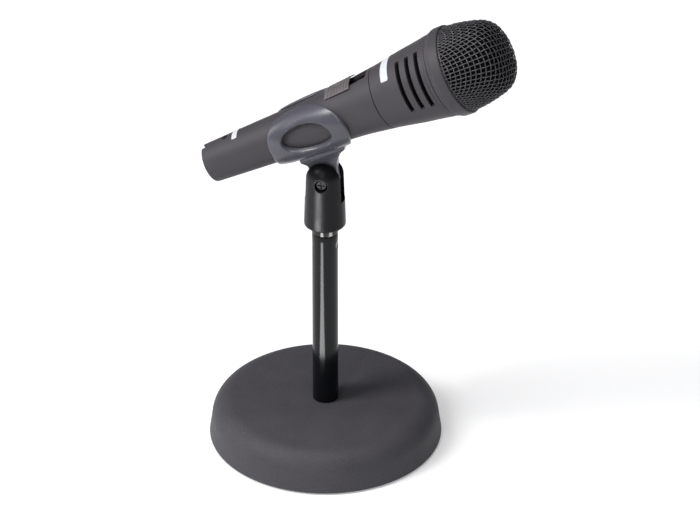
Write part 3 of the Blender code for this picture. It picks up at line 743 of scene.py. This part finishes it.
def build_clip(finish):
    """The clip in one piece: two mirrored jaws, the tongue and its pivot hole."""
    lift = Matrix.Translation((AXIS_OFFSET, 0.0, 0.0))
    shares = [0.0, 0.008, 0.02, 0.04, 0.065, 0.1]
    shares += steps_between(0.15, 0.85, 12)
    shares += [0.9, 0.935, 0.96, 0.98, 0.992, 1.0]
    near = jaw_half(160, shares)
    far = near.copy()
    bmesh.ops.scale(far, vec=(1.0, -1.0, 1.0), verts=far.verts)
    bmesh.ops.reverse_faces(far, faces=far.faces)
    sleeve = joined([near, far])
    bmesh.ops.remove_doubles(sleeve, verts=sleeve.verts, dist=1e-3)
    moved(sleeve, lift)

    reach = [(0.0, -20.0)]
    reach += [(body_radius(s) + 0.9, s) for s in steps_between(-20.0, 40.0, 20)]
    reach += [(0.0, 40.0)]
    plate = combined(tongue(), moved(lathe(reach), lift), "DIFFERENCE")
    shell = combined(sleeve, plate, "UNION")
    hole = lathe([(0.0, -12.0), (SCREW_R + 0.5, -12.0), (SCREW_R + 0.5, 12.0), (0.0, 12.0)],
                 SMALL_ROUND)
    bmesh.ops.rotate(hole, matrix=Matrix.Rotation(QUARTER, 3, "X"), verts=hole.verts)
    shell = combined(shell, hole, "DIFFERENCE")
    finish_piece("mic_clip", shell, CLIP, "clip", "clip_plastic", finish, ["clip_shell"],
                 sharp=38.0)


# ================================================================ microphone

def edged(line_radius, start, end, edge, count):
    """(r, s) points along an outer line with a small rounded edge at both ends."""
    points = []
    stations = [start + edge * k / 4.0 for k in range(5)]
    stations += steps_between(start + edge, end - edge, count)[1:-1]
    stations += [end - edge * k / 4.0 for k in range(4, -1, -1)]
    for s in stations:
        away = min(s - start, end - s)
        points.append((line_radius(s) - edge * (1.0 - round_over(away, edge)), s))
    return points


def build_handle(finish):
    """The handle, with its switch slot, latch notch and the hole of the set screw."""
    end = PART_S - GAP / 2.0
    outer = [(XLR_R + 0.5, TAIL_S), (10.5, TAIL_S), (10.95, TAIL_S + 0.15),
             (11.2, TAIL_S + 0.45)]
    outer += edged(body_radius, -56.3, end, 0.3, 60)[5:]
    inner = [(body_radius(s) - SHELL_T, s) for s in steps_between(end, -34.0, 20)]
    inner += [(XLR_R, -34.5), (XLR_R, TAIL_S + 0.5), (XLR_R + 0.1, TAIL_S + 0.2)]
    handle = lathe(outer + inner, BODY_ROUND)

    along = Matrix.Rotation(QUARTER, 4, "Y")
    half = SWITCH_SLOT_HALF
    slot = block((-SWITCH_SLOT[1], -half, 11.0), (-SWITCH_SLOT[0], half, 22.0), 1.8)
    handle = combined(handle, moved(slot, along), "DIFFERENCE")
    notch = block((54.2, -2.6, 8.0), (62.0, 2.6, 14.0), 1.2)
    handle = combined(handle, moved(notch, along), "DIFFERENCE")
    sunk = [(0.0, 8.0), (1.9, 8.0), (1.9, 11.6), (2.5, 12.4), (2.5, 14.0), (0.0, 14.0)]
    place = Matrix.Translation((0.0, 0.0, SET_SCREW_S)) @ along
    handle = combined(handle, moved(lathe(sunk, SMALL_ROUND), place), "DIFFERENCE")
    finish_piece("handle", handle, MIC, "mic", "mic_coating", finish, ["mic_handle"])


def windowed_shell(stations, angles, outer, inner, is_open):
    """A turned shell on a grid of stations and angles, with its open cells left out."""
    mesh_bm = bmesh.new()
    known = {}

    def vertex(i, j, side):
        key = (i, j % len(angles), side)
        if key not in known:
            s = stations[i]
            radius = outer(s) if side else inner(s)
            known[key] = mesh_bm.verts.new(around(radius, angles[key[1]], s))
        return known[key]

    def solid(i, j):
        if not 0 <= i < len(stations) - 1:
            return False
        j = j % len(angles)
        after = angles[j + 1] if j + 1 < len(angles) else angles[0] + 360.0
        return not is_open((stations[i] + stations[i + 1]) / 2.0, (angles[j] + after) / 2.0)

    for i in range(len(stations) - 1):
        for j in range(len(angles)):
            if not solid(i, j):
                continue
            for side in (0, 1):
                mesh_bm.faces.new([vertex(i, j, side), vertex(i + 1, j, side),
                                   vertex(i + 1, j + 1, side), vertex(i, j + 1, side)])
            walls = [(i - 1, j, (i, j), (i, j + 1)), (i + 1, j, (i + 1, j), (i + 1, j + 1)),
                     (i, j - 1, (i, j), (i + 1, j)), (i, j + 1, (i, j + 1), (i + 1, j + 1))]
            for next_i, next_j, a, b in walls:
                if not solid(next_i, next_j):
                    mesh_bm.faces.new([vertex(*a, 0), vertex(*b, 0), vertex(*b, 1),
                                       vertex(*a, 1)])
    return mesh_bm


def build_housing(finish):
    """The head housing with its vents, and the collar that holds the grille."""
    start, end = PART_S + GAP / 2.0, COLLAR_S - GAP / 2.0
    groove_s, groove_half = 93.9, 0.22
    stations = {start, start + 0.15, start + 0.4, end - 0.4, end - 0.15, end}
    stations.update(steps_between(start + 1.0, 75.0, 16))
    stations.update({groove_s - 2 * groove_half, groove_s - groove_half, groove_s,
                     groove_s + groove_half, groove_s + 2 * groove_half})
    for s in VENTS:
        half = VENT_WIDTH / 2.0
        stations.update({s - half - 0.6, s - half, s + half, s + half + 0.6, s - 0.4, s + 0.4})
        stations.add(s + 3.2 if s < VENTS[-1] else s)
    vent_ranges = [VENT_PHI, (180.0 - VENT_PHI[1], 180.0 - VENT_PHI[0])]
    vent_ranges = [(low % 360.0, low % 360.0 + high - low) for low, high in vent_ranges]
    angles = {angle * 2.0 for angle in range(180)}
    edges = {edge % 360.0 for pair in vent_ranges for edge in pair}
    angles = sorted({a for a in angles if all(abs(a - e) > 0.9 for e in edges)} | edges)

    def is_open(s, phi):
        if all(abs(s - vent) > VENT_WIDTH / 2.0 for vent in VENTS):
            return False
        return any(low < turn < high for low, high in vent_ranges
                   for turn in (phi, phi + 360.0, phi - 360.0))

    def outer(s):
        edge = 0.35
        away = min(s - start, end - s)
        sunk = 0.28 * max(0.0, 1.0 - abs(s - groove_s) / groove_half / 1.5)
        return body_radius(s) - edge * (1.0 - round_over(away, edge)) - sunk

    shell = windowed_shell(sorted(stations), angles, outer, lambda s: body_radius(s) - SHELL_T,
                           is_open)
    housing = finish_piece("head_housing", shell, MIC, "mic", "mic_coating", finish,
                           ["mic_head_housing"])
    add_bevel(housing, 0.22, 50.0)

    start = COLLAR_S + GAP / 2.0
    rim = rounded([(24.1, start, 0.0), (24.55, start, 0.3), (24.75, COLLAR_S + 1.9, 0.4),
                   (25.5, COLLAR_S + 2.6, 0.5), (25.75, COLLAR_S + 3.6, 0.6),
                   (25.85, 104.2, 0.4), (25.5, GRILLE_S - GAP / 2.0, 0.4),
                   (24.2, GRILLE_S - GAP / 2.0, 0.3)])
    finish_piece("grille_collar", lathe(rim, BODY_ROUND), MIC, "mic", "mic_coating", finish,
                 ["mic_collar"], sharp=45.0)


def dome_line(count):
    """Points (s, r, arc length) along the grille's outer line, from its tip to its rim."""
    corners = [(GRILLE_TIP, 0.0), *reversed(GRILLE_LINE), (103.6, 24.95)]
    mirrored = [(corners[1][0], -corners[1][1]), *corners, (102.0, 25.0)]
    points = []
    for k in range(1, len(mirrored) - 2):
        a, b, c, d = (Vector(p) for p in mirrored[k - 1:k + 3])
        for i in range(count):
            t = i / count
            points.append(0.5 * (2.0 * b + (c - a) * t + (2.0 * a - 5.0 * b + 4.0 * c - d) * t * t
                                 + (3.0 * b - 3.0 * c + d - a) * t ** 3))
    length = 0.0
    line = []
    for k, point in enumerate(points):
        length += (point - points[k - 1]).length if k else 0.0
        line.append((point.x, point.y, length))
    return line


def inward(line, k, depth):
    """A point (r, s) a given depth inside a line of (s, r, length) points."""
    before, after = line[max(k - 1, 0)], line[min(k + 1, len(line) - 1)]
    along = Vector((after[0] - before[0], after[1] - before[1])).normalized()
    return line[k][1] + along.x * depth, line[k][0] - along.y * depth


class Dome:
    """The grille's surface, read by arc length from the tip and by angle."""

    def __init__(self, sink):
        self.line = dome_line(12)
        self.sink = sink
        self.rim = self.line[-1][2]

    def at(self, length, phi, lift=0.0):
        """A point lifted off the surface, and the outward direction there."""
        low, high = 0, len(self.line) - 2
        while low < high:
            middle = (low + high + 1) // 2
            if self.line[middle][2] <= length:
                low = middle
            else:
                high = middle - 1
        s0, r0, l0 = self.line[low]
        s1, r1, l1 = self.line[low + 1]
        t = (length - l0) / (l1 - l0)
        along = Vector((s1 - s0, r1 - r0)).normalized()
        out_s, out_r = along.y, -along.x
        s = s0 + (s1 - s0) * t + out_s * (lift - self.sink)
        r = r0 + (r1 - r0) * t + out_r * (lift - self.sink)
        return Vector(around(r, phi, s)), Vector(around(out_r, phi, out_s))


def wire_tube(mesh_bm, points, outs, radius, sides=6):
    """Add a round wire along points, whose first side faces outward."""
    rings = []
    for k, point in enumerate(points):
        tangent = (points[min(k + 1, len(points) - 1)] - points[max(k - 1, 0)]).normalized()
        across = tangent.cross(outs[k]).normalized()
        out = across.cross(tangent)
        ring = []
        for i in range(sides):
            angle = 2.0 * math.pi * i / sides
            ring.append(mesh_bm.verts.new(point + out * (radius * math.cos(angle))
                                          + across * (radius * math.sin(angle))))
        rings.append(ring)
    for here, there in zip(rings, rings[1:]):
        for i in range(sides):
            j = (i + 1) % sides
            mesh_bm.faces.new((here[i], here[j], there[j], there[i]))
    mesh_bm.faces.new(rings[0])
    mesh_bm.faces.new(rings[-1])


def build_grille(finish):
    """A plain weave of round wire, drawn over the dome as a flat square mesh is.

    The wires stay square to each other along four lines down the dome, and lean
    towards each other between them.
    """
    mesh_bm = bmesh.new()
    dome = Dome(sink=2.0 * WIRE_R)
    count = int(dome.rim / MESH_PITCH) + 2
    for family in (0, 1):
        for n in range(-count, count):
            fixed = (n + 0.5) * MESH_PITCH
            points, outs = [], []
            for k in range(-count * WIRE_STEPS, count * WIRE_STEPS + 1):
                run = k * MESH_PITCH / WIRE_STEPS
                a, b = (fixed, run) if family == 0 else (run, fixed)
                reach = math.hypot(a, b)
                flat = math.atan2(b, a)
                stretch = 1.0 + MESH_STRETCH * (1.0 - math.cos(4.0 * flat)) / 2.0
                length = reach * stretch
                if length > dome.rim:
                    continue
                pull = MESH_PULL * min(length / MESH_PULL_LENGTH, 1.0)
                phi = math.degrees(flat + pull * math.sin(4.0 * flat) / 4.0) + MESH_TURN
                sign = (-1) ** (n + family)
                lift = sign * WIRE_R * math.cos(math.pi * (run / MESH_PITCH - 0.5))
                point, out = dome.at(length, phi, lift)
                points.append(point)
                outs.append(out)
            if len(points) > 3:
                wire_tube(mesh_bm, points, outs, WIRE_R)
    finish_piece("wire_grille", mesh_bm, MIC, "mic", "grille_wire", finish, ["mic_grille"],
                 sharp=60.0)

    band = rounded([(22.9, 98.5, 0.2), (23.8, 98.5, 0.2), (23.8, 104.7, 0.1),
                    (24.3, 105.0, 0.2), (24.3, 105.7, 0.2), (22.9, 105.7, 0.2)], 2)
    finish_piece("grille_rim", lathe(band), MIC, "mic", "grille_wire", finish)

    line = [point for point in dome_line(4) if point[0] > FOAM_S]
    skin = [inward(line, k, FOAM_SKIN) for k in range(len(line))]
    lining = [inward(line, k, FOAM_HOLLOW) for k in reversed(range(len(line)))]
    outer = [(0.0, GRILLE_TIP - FOAM_SKIN)] + [point for point in skin if point[0] > 0.5]
    hollow = [point for point in lining if point[0] > 0.5] + [(0.0, GRILLE_TIP - FOAM_HOLLOW)]
    foam = finish_piece("foam_liner", lathe(outer + hollow), MIC, "mic", "foam", finish,
                        ["mic_foam_liner"])


def build_switch(finish):
    """The ribbed slider and the stem that reaches down to the switch."""
    start, end = SLIDER_S
    pitch = (end - start - 2.0) / SLIDER_RIBS

    def ground(s):
        """The handle's surface, raised towards the front to clear where the handle widens."""
        return body_radius(s) + 0.3 * (s - start) / (end - start)

    outline = [(ground(end) + 0.4, end, 0.2), (ground(start) + 0.4, start, 0.2),
               (ground(start) + 0.8, start, 0.2), (ground(start) + 0.8, start + 0.9, 0.1)]
    for i in range(SLIDER_RIBS):
        s = start + 1.0 + i * pitch
        crest = ground(s + 0.5) + SLIDER_HEIGHT
        outline += [(crest - RIB_DEPTH, s, 0.1), (crest, s + 0.45, 0.25),
                    (crest, s + pitch * 0.62, 0.25),
                    (crest - RIB_DEPTH, s + pitch * 0.62 + 0.4, 0.1)]
    outline += [(ground(end) + 0.8, end - 0.8, 0.1), (ground(end) + 0.8, end, 0.2)]
    outline = rounded(outline, 3)
    loops = []
    low, high = SLIDER_PHI
    for phi in steps_between(low, high, 40):
        away = min(phi - low, high - phi) * ARC_PER_DEGREE
        drop = 0.3 * (1.0 - round_over(away, 0.8))
        loop = []
        for r, s in outline:
            floor = ground(s) + 0.4
            loop.append(around(max(floor + 0.05, r - drop) if r > floor + 0.1 else r, phi, s))
        loops.append(loop)
    cap = loft(loops)
    stem = block((13.0, -2.2, 33.0), (17.2, 2.2, 38.5))
    cap = combined(cap, stem, "UNION")
    finish_piece("switch_slider", cap, MIC, "switch", "slider_plastic", finish,
                 ["mic_switch_slider"])


def build_connector(finish):
    """The connector's pins and the insert that carries them."""
    radius = XLR_R - GAP
    end = XLR_FACE + 9.0
    body = lathe(rounded([(0.0, XLR_FACE, 0.0), (radius, XLR_FACE, 0.5), (radius, end, 0.2),
                          (0.0, end, 0.0)]), INSERT_ROUND)
    for index, degrees in enumerate((150.0, 30.0, 270.0)):
        x, y, _ = around(PIN_CIRCLE_R, degrees, 0.0)
        hole = lathe([(0.0, XLR_FACE - 2.0), (2.1, XLR_FACE - 2.0), (1.5, XLR_FACE + 0.5),
                      (1.5, XLR_FACE + 12.0), (0.0, XLR_FACE + 12.0)], SMALL_ROUND)
        bmesh.ops.translate(hole, vec=(x, y, 0.0), verts=hole.verts)
        body = combined(body, hole, "DIFFERENCE")
        tip = XLR_FACE - 9.0
        profile = [(0.0, tip), (0.35, tip + 0.03), (0.75, tip + 0.2), (1.05, tip + 0.55),
                   (1.2, tip + 1.1), (1.2, XLR_FACE + 11.0), (0.0, XLR_FACE + 11.0)]
        pin = lathe(profile, PIN_ROUND)
        bmesh.ops.translate(pin, vec=(x, y, 0.0), verts=pin.verts)
        finish_piece(f"contact_pin_{index + 1}", pin, MIC, "mic", "pin_silver", finish,
                     [f"xlr_pin_{index + 1}"])
    finish_piece("pin_insert", body, MIC, "mic", "connector_plastic", finish, ["xlr_insert"])


def blank_label(name, start, end, phi_start, phi_end, finish):
    """A thin blank patch stuck on the microphone, which follows its curve."""
    stations = steps_between(start, end, 6)
    loops = []
    for phi in steps_between(phi_start, phi_end, 40):
        away = min(phi - phi_start, phi_end - phi)
        inset = 0.6 * (1.0 - round_over(away, 2.0))
        places = [s + inset if s == start else s - inset if s == end else s for s in stations]
        loop = [around(body_radius(s) + LABEL_TOP, phi, s) for s in places]
        loop += [around(body_radius(s) + LABEL_UNDERSIDE, phi, s) for s in reversed(places)]
        loops.append(loop)
    finish_piece(name, loft(loops), MIC, "mic", "mic_coating", finish, look="label")


# ================================================================ carried-over nodes

def dress_cad_nodes(finish):
    """Give every CAD node that stays in view the finish of its own slot."""
    slots = {
        "base_washer": "zinc_fixings", "base_nut": "zinc_fixings",
        "tube_lower_plug": "turned_steel", "tube_upper_plug": "turned_steel",
        "holder_insert": "insert_brass", "pivot_nut": "pivot_steel",
        "friction_washer_near": "friction_fibre", "friction_washer_far": "friction_fibre",
        "mic_vent_cloth": "acoustic_cloth", "mic_capsule": "capsule_metal",
        "mic_shock_mount": "mount_rubber", "xlr_set_screw": "screw_black",
        "mic_switch_plate": "switch_plastic", "mic_switch_unit": "switch_plastic",
    }
    for name, slot in slots.items():
        node = frame["nodes"][name]
        if not node.material_slots:
            node.data.materials.append(finish[slot])
        for material_slot in node.material_slots:
            material_slot.material = finish[slot]


# ================================================================ studio

def camera_directions():
    right = Vector((math.cos(CAMERA_TURN), math.sin(CAMERA_TURN), 0.0))
    back = Vector((math.sin(CAMERA_TURN) * math.cos(CAMERA_RISE),
                   -math.cos(CAMERA_TURN) * math.cos(CAMERA_RISE), math.sin(CAMERA_RISE)))
    return right, back, back.cross(right)


def add_camera():
    right, back, upward = camera_directions()
    target = right * CAMERA_TARGET_RIGHT + Vector((0.0, 0.0, CAMERA_TARGET_UP))
    data = bpy.data.cameras.new("camera")
    data.lens = CAMERA_LENS
    data.sensor_width = 36.0
    data.clip_end = 30.0
    camera = add_object("camera", data)
    turn = Matrix((right, upward, back)).transposed().to_4x4()
    camera.matrix_world = Matrix.Translation(target + back * CAMERA_DISTANCE) @ turn
    bpy.context.scene.camera = camera


def compass(turn):
    """The world's angle for a direction given in degrees to the right of the camera."""
    return math.radians(turn) - math.pi / 2.0 + CAMERA_TURN


def area_light(name, size, power):
    """A rectangular light, linked to the scene and not yet placed."""
    data = bpy.data.lights.new(name, "AREA")
    data.shape = "RECTANGLE"
    data.size, data.size_y = size
    data.energy = power
    return add_object(name, data)


def soft_light(name, turn, rise, distance, size, power):
    """A soft box; turn is its angle to the right of the camera, rise its height, in degrees."""
    angle = compass(turn)
    lift = math.radians(rise)
    way = Vector((math.cos(angle) * math.cos(lift), math.sin(angle) * math.cos(lift),
                  math.sin(lift)))
    light = area_light(name, size, power)
    light.location = LIGHT_AIM + way * distance
    light.rotation_euler = (-way).to_track_quat("-Z", "Y").to_euler()


def floor_card(name, pieces, turn, near, far, width, radiance):
    """A strip of light just above the floor, linked to a few upright glossy pieces.

    An upright gloss tube mirrors the floor, so its bright line has to come from there.
    """
    angle = compass(turn)
    card = area_light(name, (width, far - near), radiance * math.pi * width * (far - near))
    reach = (near + far) / 2.0
    card.location = (math.cos(angle) * reach, math.sin(angle) * reach, CARD_LIFT)
    card.rotation_euler = (math.pi, 0.0, angle - math.pi / 2.0)
    card.visible_camera = False
    card.visible_diffuse = False
    lit = bpy.data.collections.new(f"{name}_receivers")
    for piece in pieces:
        lit.objects.link(piece)
    card.light_linking.receiver_collection = lit


def build_studio():
    scene = bpy.context.scene
    scene.view_settings.view_transform = "Standard"
    world = bpy.data.worlds.new("studio")
    scene.world = world
    world.use_nodes = True
    background = world.node_tree.nodes["Background"]
    background.inputs["Color"].default_value = WORLD_COLOUR
    background.inputs["Strength"].default_value = WORLD_STRENGTH

    floor_bm = bmesh.new()
    bmesh.ops.create_grid(floor_bm, x_segments=1, y_segments=1, size=FLOOR_HALF)
    mesh = bpy.data.meshes.new("floor")
    floor_bm.to_mesh(mesh)
    floor_bm.free()
    pale = procedural("pale_floor", (0.8, 0.8, 0.81), 0.8, mottle=0.005, mottle_mm=400.0,
                      grain_mm=3.0, grain=0.02)
    shader = pale.node_tree.nodes["Principled BSDF"]
    shader.inputs["Emission Color"].default_value = (1.0, 1.0, 1.0, 1.0)
    shader.inputs["Emission Strength"].default_value = FLOOR_GLOW
    mesh.materials.append(pale)
    add_object("floor", mesh)

    soft_light("key", -70.0, 48.0, 3.0, (1.0, 1.6), 68.0)
    soft_light("strip", -20.0, 30.0, 2.6, (0.22, 1.5), 12.0)
    soft_light("left_fill", -105.0, 15.0, 2.6, (0.8, 1.4), 12.0)
    soft_light("top", -30.0, 84.0, 3.0, (2.0, 1.6), 46.0)


def build():
    add_camera()
    build_studio()
    finish = make_finishes()
    tube = build_stand(finish)
    sleeve = build_adapter(finish)
    holder = build_holder(finish)
    floor_card("tube_card", [tube, sleeve], -27.0, 0.07, 0.27, 0.075, 14.0)
    floor_card("glint_card", [sleeve], 50.0, 0.07, 0.27, 0.1, 10.0)
    floor_card("holder_card", [holder], -37.0, 0.2, 0.4, 0.12, 36.0)
    build_clip(finish)
    build_handle(finish)
    build_housing(finish)
    build_grille(finish)
    build_switch(finish)
    build_connector(finish)
    blank_label("head_label", 65.6, 70.5, 45.0, 135.0, finish)
    blank_label("tail_label", -36.0, -32.6, 63.0, 117.0, finish)
    dress_cad_nodes(finish)


build()
